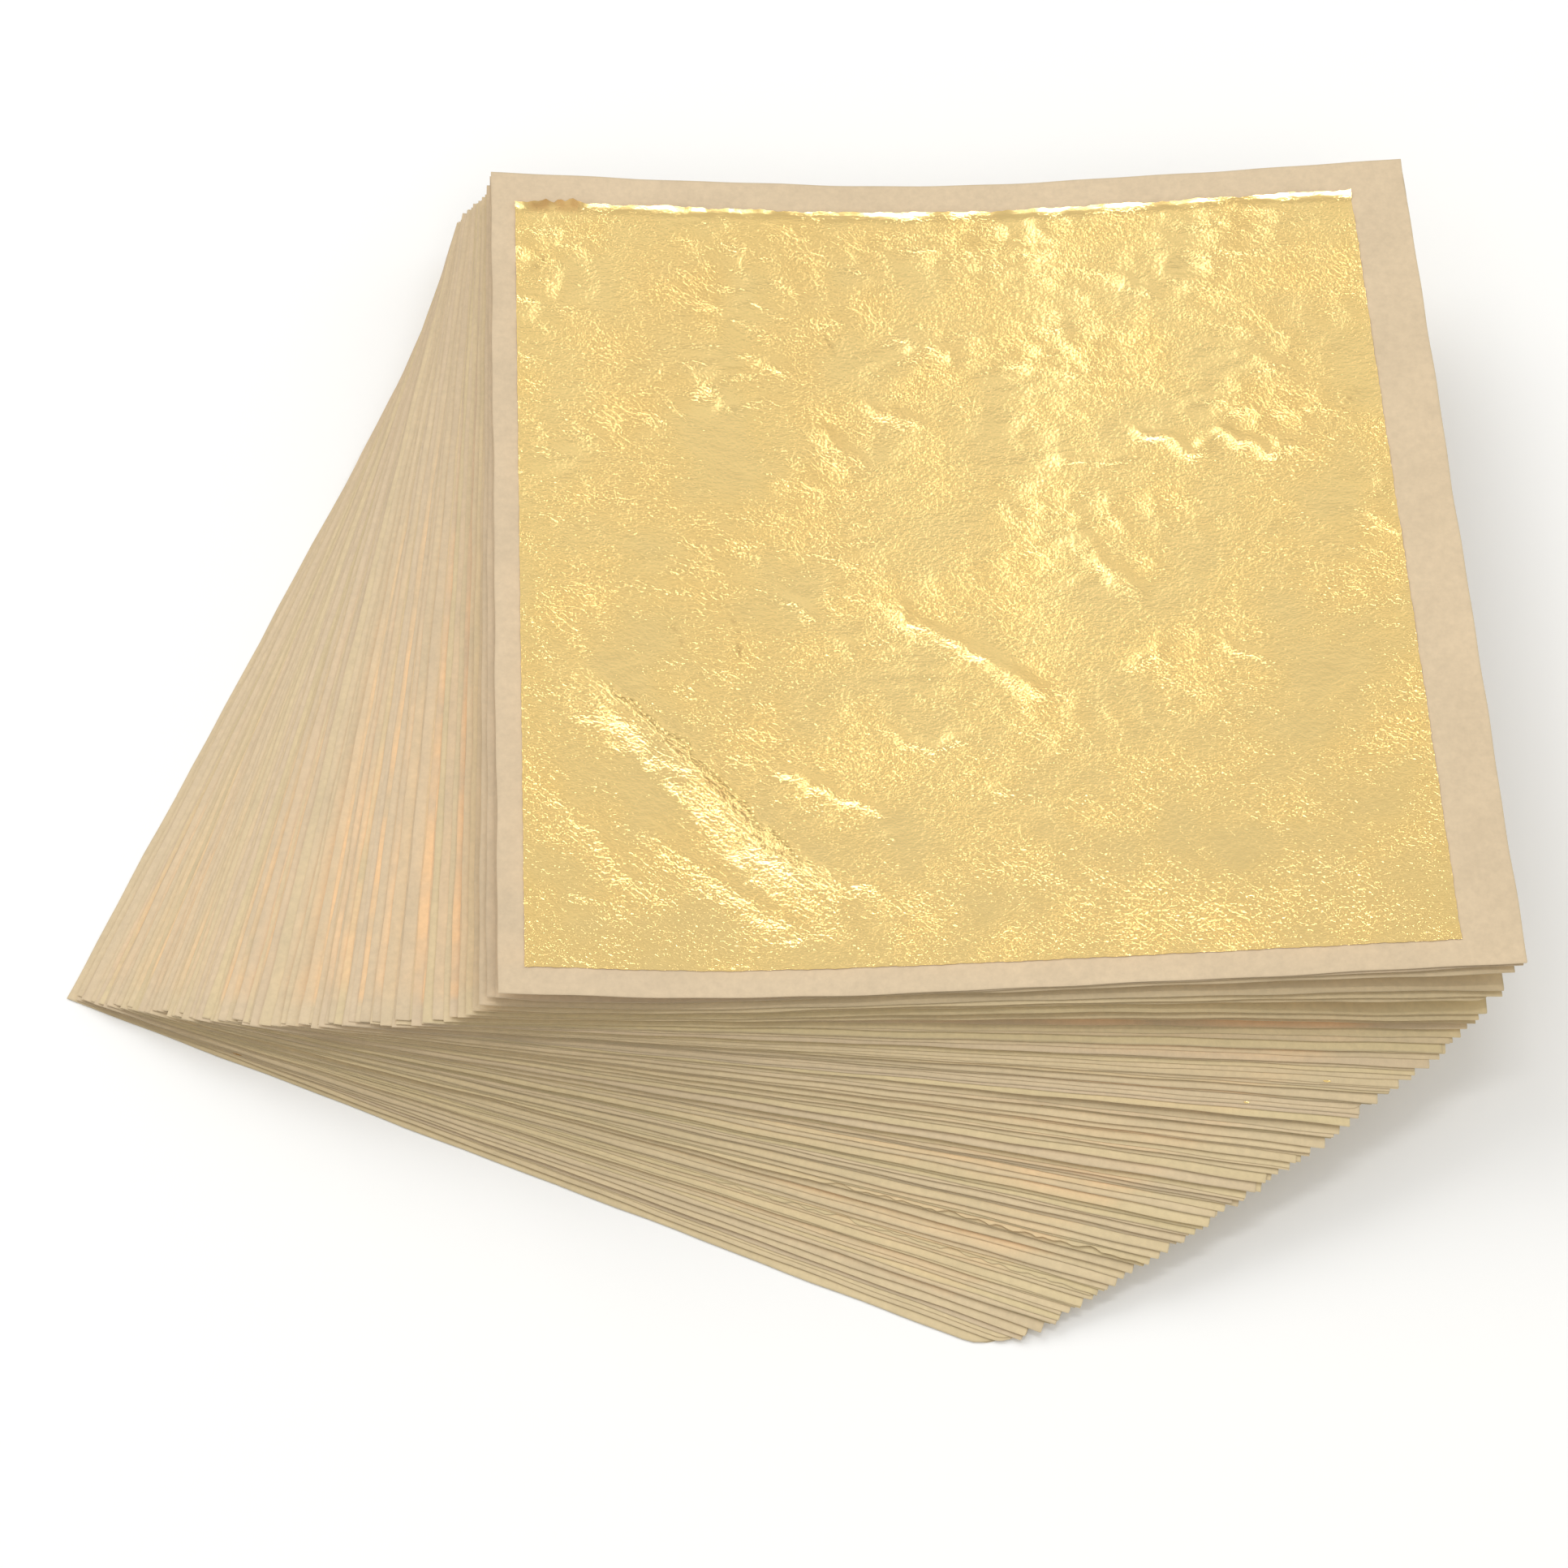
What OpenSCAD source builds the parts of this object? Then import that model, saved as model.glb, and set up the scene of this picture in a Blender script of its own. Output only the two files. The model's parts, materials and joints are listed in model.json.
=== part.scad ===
// Loose pack of gold leaf, fanned open about its back-left corner.
// Square tissues, the interleaves, each carry one square of gold leaf. There is no
// binding. The lower interleaves lie flat in small clumps that cling together. The
// uppermost ones bow up towards their corners, as light tissue does when it is fanned.
// The origin is the centre of the lowest interleaf's underside, on the table. X runs
// to the right and Y to the back, along the top interleaf's edges, and Z is up.

/* [Interleaving tissue] */
// Side of one square interleaf, mm
interleaf_side = 85; // [60:0.5:150]
// Lofted thickness of one interleaf with the air in its crinkles, mm
interleaf_thickness = 0.08; // [0.03:0.005:0.3]

/* [Gold leaf] */
// Width of one leaf from left to right, mm
leaf_width = 77.7; // [40:0.1:84]
// Depth of one leaf from front to back, mm
leaf_depth = 79; // [40:0.1:84]
// Thickness of one leaf with its crinkles, mm
leaf_thickness = 0.02; // [0.005:0.005:0.05]
// Bare tissue at the left of a leaf, mm
leaf_left_margin = 2.2; // [0.5:0.1:8]
// Bare tissue in front of a leaf, mm
leaf_front_margin = 2.5; // [0.5:0.1:8]
// How far a hidden leaf may lie from its even place, mm
leaf_scatter = 0.4; // [0:0.1:0.5]

/* [Pack] */
// Clumps of flat interleaves in the fan
clump_count = 18; // [3:1:18]
// Interleaves that cling together in one clump
interleaves_in_clump = 5; // [2:1:8]
// Interleaves that bow up above the clumps, under the top one
upper_count = 9; // [1:1:9]
// Air left over each leaf of a clump, on which the next interleaf slides, mm
slip_gap = 0.005; // [0.002:0.001:0.05]
// Air left over each leaf of the bowed interleaves, mm
upper_gap = 0.06; // [0.05:0.005:0.2]

/* [Fan] */
// Angle between the lowest and the top interleaf, degrees
fan_angle = 23.9; // [5:0.1:60]
// Fan axis, to the left of the top interleaf's back-left corner, mm
axis_left = 0.3; // [-5:0.1:10]
// Fan axis, behind the top interleaf's back-left corner, mm
axis_behind = 5.8; // [-10:0.1:20]
// How far the middle of the pack has slipped to the left as it was fanned, mm
middle_slip = 2; // [0:0.1:5]
// How far an interleaf may lie from its even place, mm
interleaf_scatter = 0.3; // [0:0.05:1]
// How far an interleaf may be turned from its even place, in steps of the fan
turn_scatter = 0.35; // [0:0.05:0.45]

/* [Bow of the upper interleaves] */
// Rise of the top interleaf's back-left corner over the trough, mm
rise_back_left = 2.8; // [0:0.1:10]
// Rise of the top interleaf's back-right corner, mm
rise_back_right = 3.4; // [0:0.1:10]
// Rise of the top interleaf's front-right corner, mm
rise_front_right = 5; // [0:0.1:12]
// Rise of the top interleaf's front-left corner, mm
rise_front_left = 3.6; // [0:0.1:10]
// Rise of the trough's floor from the back edge to the front edge, mm
rise_trough = 1.6; // [0:0.1:2.5]
// Trough from the left edge at the back of the top interleaf, mm
trough_back = 39.8; // [15:0.1:60]
// Trough from the left edge at the front of the top interleaf, mm
trough_front = 20.3; // [15:0.1:60]
// Width of the trough's rounded floor as a share of each flank
trough_softness = 0.3; // [0.1:0.05:1]

/* [Hidden] */
// Seeds that keep the scatter of the sheets the same every time
turn_seed = 11;
place_seed = 23;
leaf_seed = 37;

// Facets of a bowed leaf from left to right and from back to front
facets_across = 10;
facets_deep = 2;

flat_count = clump_count * interleaves_in_clump;
sheet_count = flat_count + upper_count + 1;
flat_pitch = interleaf_thickness + leaf_thickness + slip_gap;
upper_pitch = interleaf_thickness + leaf_thickness + upper_gap;
fan_axis = [-axis_left, axis_behind];

turns = rands(-turn_scatter, turn_scatter, sheet_count, turn_seed);
shifts_x = rands(-interleaf_scatter, interleaf_scatter, sheet_count, place_seed);
shifts_y = rands(-interleaf_scatter, interleaf_scatter, sheet_count, place_seed + 1);
leaf_shifts_x = rands(-leaf_scatter, leaf_scatter, sheet_count, leaf_seed);
leaf_shifts_y = rands(-leaf_scatter, leaf_scatter, sheet_count, leaf_seed + 1);

// Sheets are numbered from 0, the lowest, to sheet_count - 1, the top one. The lowest
// and the top one lie true, and the others by their scatter.
function is_end(sheet) = sheet == 0 || sheet == sheet_count - 1;
function scatter(list, sheet) = is_end(sheet) ? 0 : list[sheet];
// Flat tissues cling in pairs: the upper one of a pair lies at the lower one's angle.
function place_in_clump(sheet) = sheet % interleaves_in_clump;
function is_clinging(sheet) = sheet < flat_count && place_in_clump(sheet) % 2 == 1;
function turning_place(sheet) = is_clinging(sheet) ? sheet - 1 : sheet;
// Share of the fan from the top interleaf down to a sheet
function share(sheet) =
    1 - (turning_place(sheet) + scatter(turns, turning_place(sheet))) / (sheet_count - 1);
function slip(sheet) = 4 * middle_slip * share(sheet) * (1 - share(sheet));
// Underside of a sheet at the floor of the trough
function level(sheet) =
    min(sheet, flat_count) * flat_pitch + max(sheet - flat_count, 0) * upper_pitch;
// Share of the full bow that a sheet has
function bow(sheet) = max(sheet - flat_count + 1, 0) / (upper_count + 1);

function turned(p, angle) =
    [p.x * cos(angle) - p.y * sin(angle), p.x * sin(angle) + p.y * cos(angle)];

// Shift of a sheet before it is turned: its slip to the left and its scatter
function shift(sheet) =
    [scatter(shifts_x, sheet) - slip(sheet), scatter(shifts_y, sheet)];
// Place in the fan of a point on a sheet, both seen from the top interleaf's back-left corner
function fanned(p, sheet) =
    fan_axis + turned(p + shift(sheet) - fan_axis, -fan_angle * share(sheet));

// Centre of the lowest interleaf, which is the origin
rest_centre = fanned([interleaf_side / 2, -interleaf_side / 2], 0);

// Height of the fully bowed surface over the trough's floor at the back edge
function mix(a, b, t) = a + (b - a) * t;
function flank(t) =
    (sqrt(1 + pow(t / trough_softness, 2)) - 1) / (sqrt(1 + pow(1 / trough_softness, 2)) - 1);
function bow_height(p) =
    let (
        depth = -p.y / interleaf_side,
        trough = mix(trough_back, trough_front, depth),
        floor_rise = rise_trough * depth,
        is_left = p.x < trough,
        edge_rise = is_left ? mix(rise_back_left, rise_front_left, depth)
                            : mix(rise_back_right, rise_front_right, depth),
        across = (p.x - trough) / (is_left ? trough : interleaf_side - trough)
    )
    floor_rise + (edge_rise - floor_rise) * flank(across);

// Near corner of the leaf on a sheet, from the sheet's back-left corner
function leaf_left(sheet) = leaf_left_margin + scatter(leaf_shifts_x, sheet);
function leaf_front(sheet) =
    leaf_front_margin - interleaf_side + scatter(leaf_shifts_y, sheet);
// Lines from back to front across a leaf, and from left to right
function leaf_columns(sheet) =
    [for (i = [0 : facets_across]) leaf_left(sheet) + leaf_width * i / facets_across];
function leaf_rows(sheet) =
    [for (i = [0 : facets_deep]) leaf_front(sheet) + leaf_depth * (1 - i / facets_deep)];

function two_digits(n) = str(n < 10 ? "0" : "", n);
function clump_papers(n) = str("interleaves_", two_digits(n));
function clump_leaves(n) = str("leaves_", two_digits(n));
function upper_paper(n) = str("upper_interleaf_", n);
function upper_leaf_name(n) = str("upper_leaf_", n);

// A flat layer in its place in the fan, cut to the outline given as its child
module flat_layer(sheet, underside, thickness) {
    translate([0, 0, underside])
        linear_extrude(height = thickness)
            translate(fan_axis - rest_centre)
                rotate(-fan_angle * share(sheet))
                    translate(shift(sheet) - fan_axis)
                        children();
}

// A bowed layer over a lattice of the sheet's own columns, left to right, and rows,
// back to front. Each corner of the lattice is raised by the sheet's share of the bow.
module bowed_layer(sheet, columns, rows, underside, thickness) {
    wide = len(columns);
    deep = len(rows);
    lower = [
        for (row = rows)
            for (column = columns)
                let (p = fanned([column, row], sheet))
                [p.x - rest_centre.x, p.y - rest_centre.y,
                 underside + bow(sheet) * bow_height(p)]
    ];
    upper = [for (p = lower) p + [0, 0, thickness]];
    top = wide * deep;
    last = top - wide;
    cells = [for (j = [0 : deep - 2]) for (i = [0 : wide - 2]) j * wide + i];
    edges = concat(
        [for (i = [0 : wide - 2]) [i, i + 1]],
        [for (j = [0 : deep - 2]) [j * wide + wide - 1, (j + 1) * wide + wide - 1]],
        [for (i = [wide - 2 : -1 : 0]) [last + i + 1, last + i]],
        [for (j = [deep - 2 : -1 : 0]) [(j + 1) * wide, j * wide]]
    );
    polyhedron(
        points = concat(lower, upper),
        faces = concat(
            [for (c = cells) [c, c + wide, c + 1]],
            [for (c = cells) [c + 1, c + wide, c + wide + 1]],
            [for (c = cells) [top + c, top + c + 1, top + c + wide]],
            [for (c = cells) [top + c + 1, top + c + wide + 1, top + c + wide]],
            [for (e = edges) [e[0], e[1], top + e[0]]],
            [for (e = edges) [e[1], top + e[1], top + e[0]]]
        )
    );
}

// Outline of one interleaf, its back-left corner at the origin
module interleaf_outline() {
    translate([0, -interleaf_side])
        square(interleaf_side);
}

// Outline of the leaf that lies on a sheet
module leaf_outline(sheet) {
    translate([leaf_left(sheet), leaf_front(sheet)])
        square([leaf_width, leaf_depth]);
}

// The interleaves of one clump, numbered from 1, the lowest
module clump_interleaves(clump) {
    first = (clump - 1) * interleaves_in_clump;
    color(clump % 2 == 0 ? "wheat" : "antiquewhite")
        for (sheet = [first : first + interleaves_in_clump - 1])
            flat_layer(sheet, level(sheet), interleaf_thickness)
                interleaf_outline();
}

// The gold leaves of one clump, each on its own interleaf
module clump_gold(clump) {
    first = (clump - 1) * interleaves_in_clump;
    color("goldenrod")
        for (sheet = [first : first + interleaves_in_clump - 1])
            flat_layer(sheet, level(sheet) + interleaf_thickness, leaf_thickness)
                leaf_outline(sheet);
}

// One bowed interleaf, with a facet line along each edge of its leaf
module upper_interleaf(sheet) {
    color("antiquewhite")
        bowed_layer(
            sheet,
            concat([0], leaf_columns(sheet), [interleaf_side]),
            concat([0], leaf_rows(sheet), [-interleaf_side]),
            level(sheet), interleaf_thickness
        );
}

// The leaf on one bowed interleaf
module upper_leaf(sheet) {
    color("gold")
        bowed_layer(
            sheet, leaf_columns(sheet), leaf_rows(sheet),
            level(sheet) + interleaf_thickness, leaf_thickness
        );
}

for (n = [1 : clump_count]) {
    clump_interleaves(n);
    clump_gold(n);
}
for (n = [1 : upper_count]) {
    upper_interleaf(flat_count + n - 1);
    upper_leaf(flat_count + n - 1);
}
upper_interleaf(sheet_count - 1);  // top_interleaf
upper_leaf(sheet_count - 1);  // top_leaf
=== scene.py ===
import json
import math
import bpy
import numpy as np
from mathutils import Matrix, Vector

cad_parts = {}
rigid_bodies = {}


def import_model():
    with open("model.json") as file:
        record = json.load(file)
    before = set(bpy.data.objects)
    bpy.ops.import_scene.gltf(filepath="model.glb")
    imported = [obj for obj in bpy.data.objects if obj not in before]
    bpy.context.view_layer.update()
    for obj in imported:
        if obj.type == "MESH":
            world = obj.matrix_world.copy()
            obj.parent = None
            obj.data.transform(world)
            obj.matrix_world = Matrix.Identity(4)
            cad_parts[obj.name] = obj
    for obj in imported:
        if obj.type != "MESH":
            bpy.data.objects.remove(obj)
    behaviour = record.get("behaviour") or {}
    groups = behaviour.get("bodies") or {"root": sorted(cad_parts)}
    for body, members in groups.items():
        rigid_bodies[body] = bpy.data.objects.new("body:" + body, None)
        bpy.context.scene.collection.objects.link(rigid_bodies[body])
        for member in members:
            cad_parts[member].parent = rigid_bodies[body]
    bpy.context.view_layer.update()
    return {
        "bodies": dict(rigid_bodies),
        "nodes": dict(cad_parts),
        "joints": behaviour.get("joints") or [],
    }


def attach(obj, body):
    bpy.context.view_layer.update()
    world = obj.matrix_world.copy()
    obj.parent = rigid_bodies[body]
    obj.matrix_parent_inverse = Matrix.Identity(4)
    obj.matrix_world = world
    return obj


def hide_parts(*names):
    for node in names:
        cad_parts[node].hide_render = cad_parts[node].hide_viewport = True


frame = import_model()

# Camera: close above the pack and a little to its left, its top edge tipped to the right.
# The long lens keeps the two sides of the top interleaf nearly parallel.
CAMERA_ELEVATION = math.radians(60.62)
CAMERA_AZIMUTH = math.radians(-6.44)
CAMERA_ROLL = math.radians(4.53)
CAMERA_AIM = Vector((0.00593, -0.00211, 0))
CAMERA_DISTANCE = 0.3492
CAMERA_LENS_MM = 90.3

towards_camera = Vector((
    math.sin(CAMERA_AZIMUTH) * math.cos(CAMERA_ELEVATION),
    -math.cos(CAMERA_AZIMUTH) * math.cos(CAMERA_ELEVATION),
    math.sin(CAMERA_ELEVATION),
))
level_right = (-towards_camera).cross(Vector((0, 0, 1))).normalized()
level_up = level_right.cross(-towards_camera)
camera_right = level_right * math.cos(CAMERA_ROLL) + level_up * math.sin(CAMERA_ROLL)
camera_up = level_up * math.cos(CAMERA_ROLL) - level_right * math.sin(CAMERA_ROLL)
camera_place = CAMERA_AIM + towards_camera * CAMERA_DISTANCE
camera = bpy.data.objects.new("camera", bpy.data.cameras.new("camera"))
camera.data.lens = CAMERA_LENS_MM
camera.data.sensor_width = 36
camera.data.clip_start = 0.01
camera.matrix_world = Matrix((
    (camera_right.x, camera_up.x, towards_camera.x, camera_place.x),
    (camera_right.y, camera_up.y, towards_camera.y, camera_place.y),
    (camera_right.z, camera_up.z, towards_camera.z, camera_place.z),
    (0, 0, 0, 1),
))
bpy.context.collection.objects.link(camera)
bpy.context.scene.camera = camera


# Table and light: a wide sheet of pale card under the pack, and an even sky of soft white light.
# A large soft light stands at the back left and another in front, behind the camera. A long narrow
# one hangs almost overhead, and the gold mirrors it only where it tips a little to the front.
TABLE_SIZE = 20.0
TABLE_TOP = -0.00002
TABLE_COLOUR = (0.95, 0.95, 0.945, 1)
# The sky goes by the upright part of a direction, 0 at the horizon and 1 overhead
SKY_LOW, SKY_MIDDLE, SKY_TOP = 0.52, 0.89, 0.43
SKY_BRIGHTENS, SKY_DIMS = (0.1, 0.7), (0.75, 1.0)
SKY_COLOUR_LOW = (1.0, 0.98, 0.87, 1)
SKY_COLOUR_HIGH = (1.0, 0.99, 0.97, 1)
SKY_COLOUR_CHANGES = (0.1, 0.6)
# Each light's place and size in metres, its power in watts and its colour
LIGHTS = {
    "back_light": ((-0.65, 0.80, 0.85), (1.0, 0.8), 6.4, (1, 1, 1)),
    "high_light": ((0.0, 0.15, 1.09), (0.42, 0.07), 1.6, (1, 1, 1)),
    "front_light": ((0.1, -0.75, 1.0), (0.8, 0.6), 1.3, (1, 0.98, 0.9)),
}


def add(tree, kind, inputs=None, **settings):
    """A new shader node of a kind, with its settings, and a number or a link on each input named."""
    made = tree.nodes.new("ShaderNode" + kind)
    for name, value in settings.items():
        setattr(made, name, value)
    for name, value in (inputs or {}).items():
        if isinstance(value, bpy.types.NodeSocket):
            tree.links.new(value, made.inputs[name])
        else:
            made.inputs[name].default_value = value
    return made


def ramp(tree, value, low, high, start=0.0, end=1.0):
    """start below low, end above high and a straight slope between them."""
    return add(tree, "MapRange", {
        "Value": value, "From Min": low, "From Max": high, "To Min": start, "To Max": end,
    }).outputs[0]


def maths(tree, operation, *values):
    """The result of one arithmetic operation on numbers or links."""
    return add(tree, "Math", dict(enumerate(values)), operation=operation).outputs[0]


def blend_colour(tree, factor, first, second, mode="MIX"):
    """first where the factor is 0 and second where it is 1."""
    mixed = add(tree, "Mix", {"Factor": factor}, data_type="RGBA", blend_type=mode)
    for socket, colour in ((mixed.inputs[6], first), (mixed.inputs[7], second)):
        if isinstance(colour, bpy.types.NodeSocket):
            tree.links.new(colour, socket)
        else:
            socket.default_value = colour
    return mixed.outputs[2]


def new_material(name):
    """An empty node material with its output node: (material, tree, output)."""
    material = bpy.data.materials.new(name)
    material.use_nodes = True
    material.node_tree.nodes.clear()
    return material, material.node_tree, add(material.node_tree, "OutputMaterial")


def table_card():
    """Matt white card with a faint grain."""
    material, tree, output = new_material("table_card")
    grain = add(tree, "TexNoise", {"Vector": add(tree, "TexCoord").outputs["Object"], "Scale": 900.0})
    bump = add(tree, "Bump", {"Height": grain.outputs["Fac"], "Strength": 0.1, "Distance": 0.0002})
    card = add(tree, "BsdfPrincipled", {
        "Base Color": TABLE_COLOUR, "Roughness": 0.9, "Specular IOR Level": 0.2,
        "Normal": bump.outputs["Normal"],
    })
    tree.links.new(card.outputs[0], output.inputs["Surface"])
    return material


half = TABLE_SIZE / 2
table_mesh = bpy.data.meshes.new("table")
table_corners = [(x, y, TABLE_TOP) for x, y in ((-half, -half), (half, -half), (half, half), (-half, half))]
table_mesh.from_pydata(table_corners, [], [(0, 1, 2, 3)])
table = bpy.data.objects.new("table", table_mesh)
table_mesh.materials.append(table_card())
bpy.context.collection.objects.link(table)

world = bpy.data.worlds.new("sky")
bpy.context.scene.world = world
world.use_nodes = True
sky = world.node_tree
upright = add(sky, "SeparateXYZ", {0: add(sky, "TexCoord").outputs["Generated"]}).outputs["Z"]
rising = ramp(sky, upright, *SKY_BRIGHTENS, SKY_LOW, SKY_MIDDLE)
brightness = ramp(sky, upright, *SKY_DIMS, rising, SKY_TOP)
sky_colour = blend_colour(
    sky, ramp(sky, upright, *SKY_COLOUR_CHANGES), SKY_COLOUR_LOW, SKY_COLOUR_HIGH,
)
sky.links.new(sky_colour, sky.nodes["Background"].inputs["Color"])
sky.links.new(brightness, sky.nodes["Background"].inputs["Strength"])
for light_name, (place, size, power, colour) in LIGHTS.items():
    lamp = bpy.data.lights.new(light_name, "AREA")
    lamp.shape = "RECTANGLE"
    lamp.size, lamp.size_y = size
    lamp.energy = power
    lamp.color = colour
    light = bpy.data.objects.new(light_name, lamp)
    light.location = place
    light.rotation_mode = "QUATERNION"
    light.rotation_quaternion = Vector(place).to_track_quat("Z", "Y")
    bpy.context.collection.objects.link(light)
bpy.context.scene.view_settings.view_transform = "Standard"


# Flat interleaves: thin squares of unsized tissue, cut in a stack. They lie in clumps of a
# few that cling together, each a little further round the fan than the one above it. They
# are held by nothing but their own weight, so their edges part into thin and thick gaps.
MM = 0.001
TISSUE = 0.035 * MM
FLAT_GRID = (36, 48)
# Air gaps: the least one, the waves that vary them near the edges and a little inside, how far
# sheets differ, and the factors for sheets that cling, begin a clump or stand well apart
LEAST_GAP = 0.018 * MM
GAP_SEED = 5
GAP_WAVES = 5
GAP_WAVE_LENGTHS = (0.045, 0.16)
GAP_SPREAD = 0.45
EDGE_REACH = 9 * MM
INNER_SHARE = 0.12
OWN_GAP_SPREAD = 0.35
CLING_GAP = 0.5
CLUMP_GAP = 1.1
WIDE_GAPS = {12: 1.8, 26: 2.4, 55: 2.8, 60: 1.7, 66: 1.7, 81: 2.2, 97: 2.4, 98: 0.5}
# The top sheet stands off near the left end of its front edge and closes up along the rest of it
FRONT_STARTS, FRONT_SPAN = 0.45, 0.5
FRONT_LIFT, FRONT_CLOSE = 5.0, 0.75
FRONT_LIFT_PLACE, FRONT_LIFT_REACH = 9 * MM, 13 * MM
# Gold through the tissue: the share of light that one sheet lets by, how far down it counts, the
# share that is left under a lifted sheet, which falls this much faster than the bow rises, and
# how far the sheets differ
SEE_THROUGH = 0.8
SHEETS_SEEN_THROUGH = 12
LIFTED_SEE_THROUGH, LIFTED_FASTER = 0.1, 1.5
LEAF_EDGE_BLUR = 0.5 * MM
GOLD_SHOWS_SPREAD = (0.15, 0.8)
# Edges: their sway, the torn stretches of three front edges, and the corners' radii in mm
RAGGED_SIZE = 0.028 * MM
CUT_WAVES = (0.009, 0.017, 0.031)
TORN_SHEETS = {25: (0.020, 0.040), 29: (0.055, 0.085), 19: (0.050, 0.085)}
TORN_WAVES = (0.0027, 0.0071, 0.0183)
TORN_DEPTH = 0.35 * MM
TORN_FADE = 5 * MM
TORN_GRID = (36, 170)
CORNER_ROUND = 0.12
SOFT_CORNERS = {0: 2.6, 1: 3.2, 2: 2.0, 3: 1.6, 30: 2.0, 94: 1.8, 62: 1.2, 71: 1.4}
BARE_TISSUE = (0.71, 0.58, 0.335, 1)
BLUSH_TISSUE = (0.675, 0.535, 0.365, 1)
GOLD_THROUGH_TISSUE = (0.88, 0.58, 0.32, 1)
# Painted shade: the grey-brown of the thin line along each sheet's edge, for the shadow under it
EDGE_SHADE_TISSUE = (0.38, 0.31, 0.20, 1)
BARK = (0.16, 0.09, 0.05, 1)
PULP_SHADES, CLOUD_SHADES = (0.93, 1.05), (0.95, 1.03)
BLUSH_SPREAD = (0.35, 0.22)
SIDE_BLUSH, SIDE_BLUSH_REACH = 0.45, 5 * MM
# The painted shade line along the edges, for the shadow under each sheet's edge: its width, its least and
# greatest strength, and its share at left
EDGE_LINE = 0.07 * MM
EDGE_STRENGTH = (0.12, 0.6)
LEFT_EDGE = 0.45
# How far apart two sheets' patterns lie in the third coordinate
SHEET_STEP = 0.0137

clump_bodies = sorted(body for body in frame["bodies"] if body.startswith("clump_"))
upper_bodies = sorted(body for body in frame["bodies"] if body.startswith("upper_"))
clump_nodes = [body.replace("clump_", "interleaves_") for body in clump_bodies]
clump_leaf_nodes = [body.replace("clump_", "leaves_") for body in clump_bodies]
bowed_nodes = [body.replace("upper_", "upper_interleaf_") for body in upper_bodies] + ["top_interleaf"]
bowed_leaf_nodes = [body.replace("upper_", "upper_leaf_") for body in upper_bodies] + ["top_leaf"]
fan = next(joint for joint in frame["joints"] if joint["name"] == "fan")
fan_axis = np.array(fan["pos_m"][:2])


def node_points(name):
    """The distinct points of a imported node, to a hundredth of a millimetre."""
    mesh = frame["nodes"][name].data
    points = np.empty(len(mesh.vertices) * 3)
    mesh.vertices.foreach_get("co", points)
    return np.unique(points.reshape(-1, 3).round(6), axis=0)


def layers(name):
    """The points of each flat solid of a node, lowest first: every second level is an underside."""
    points = node_points(name)
    undersides = np.unique(points[:, 2].round(5))[::2]
    return [points[abs(points[:, 2] - z) < 0.00001] for z in undersides]


def square_of(points):
    """Back-left corner, unit vector to the right and unit vector to the front of a square.
    Its back-left corner is the point nearest to the fan's axis and its front-right one the
    farthest, and each side is the diagonal between them turned by 45 degrees."""
    away = np.linalg.norm(points[:, :2] - fan_axis, axis=1)
    back_left = points[away.argmin(), :2]
    across, along = points[away.argmax(), :2] - back_left
    right = np.array([across - along, across + along]) / 2
    front = np.array([across + along, along - across]) / 2
    return back_left, right / np.linalg.norm(right), front / np.linalg.norm(front)


flat_points = [points for name in clump_nodes for points in layers(name)]
bowed_points = [node_points(name) for name in bowed_nodes]
corner, rightward, frontward = (
    np.array(part) for part in zip(*[square_of(points) for points in flat_points + bowed_points])
)
level = np.array([points[:, 2].min() for points in flat_points + bowed_points])
flat_count, sheet_count = len(flat_points), len(level)
sheets_per_clump = flat_count // len(clump_nodes)
side = float(np.ptp((flat_points[0][:, :2] - corner[0]) @ rightward[0]))


def on_sheet(sheet, p):
    """Distances right and front of a sheet's back-left corner, for points p seen from above."""
    return (p - corner[sheet]) @ rightward[sheet], (p - corner[sheet]) @ frontward[sheet]


def seen_from_above(sheet, u, v):
    """The point that lies u to the right and v to the front of a sheet's back-left corner."""
    return corner[sheet] + u[..., None] * rightward[sheet] + v[..., None] * frontward[sheet]


leaf_edges = np.array([
    [edge for distances in on_sheet(sheet, points[:, :2]) for edge in (distances.min(), distances.max())]
    for sheet, points in enumerate(
        [points for name in clump_leaf_nodes for points in layers(name)]
        + [node_points(name) for name in bowed_leaf_nodes]
    )
])


def through(knots, values, places):
    """A smooth curve through values at knots, along the first axis: cubic pieces whose slope
    at each knot is that of the straight line between the knots on its two sides."""
    slopes = np.gradient(values, knots, axis=0)
    i = np.clip(np.searchsorted(knots, places) - 1, 0, len(knots) - 2)
    shape = (-1,) + (1,) * (values.ndim - 1)
    width = (knots[i + 1] - knots[i]).reshape(shape)
    t = ((places - knots[i]) / (knots[i + 1] - knots[i])).reshape(shape)
    start = (1 + 2 * t) * (1 - t) ** 2 * values[i] + t * (1 - t) ** 2 * width * slopes[i]
    return start + t * t * (3 - 2 * t) * values[i + 1] + t * t * (t - 1) * width * slopes[i + 1]


# The top interleaf's lattice of columns and rows gives the bow, the same for each bowed sheet
top_u, top_v = on_sheet(sheet_count - 1, bowed_points[-1][:, :2])
bow_columns = np.unique(top_u.round(5))
bow_rows = np.unique(top_v.round(5))
lattice = bowed_points[-1][np.lexsort((bowed_points[-1][:, 2], top_u.round(5), top_v.round(5)))]
bow_lattice = lattice[::2, 2].reshape(len(bow_rows), len(bow_columns)) - level[-1]
BOW_STEP, BOW_MARGIN = 0.5 * MM, 8 * MM
bow_u = np.arange(-BOW_MARGIN, side + BOW_MARGIN, BOW_STEP)
bow_surface = through(bow_rows, through(bow_columns, bow_lattice.T, bow_u).T, bow_u)


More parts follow.
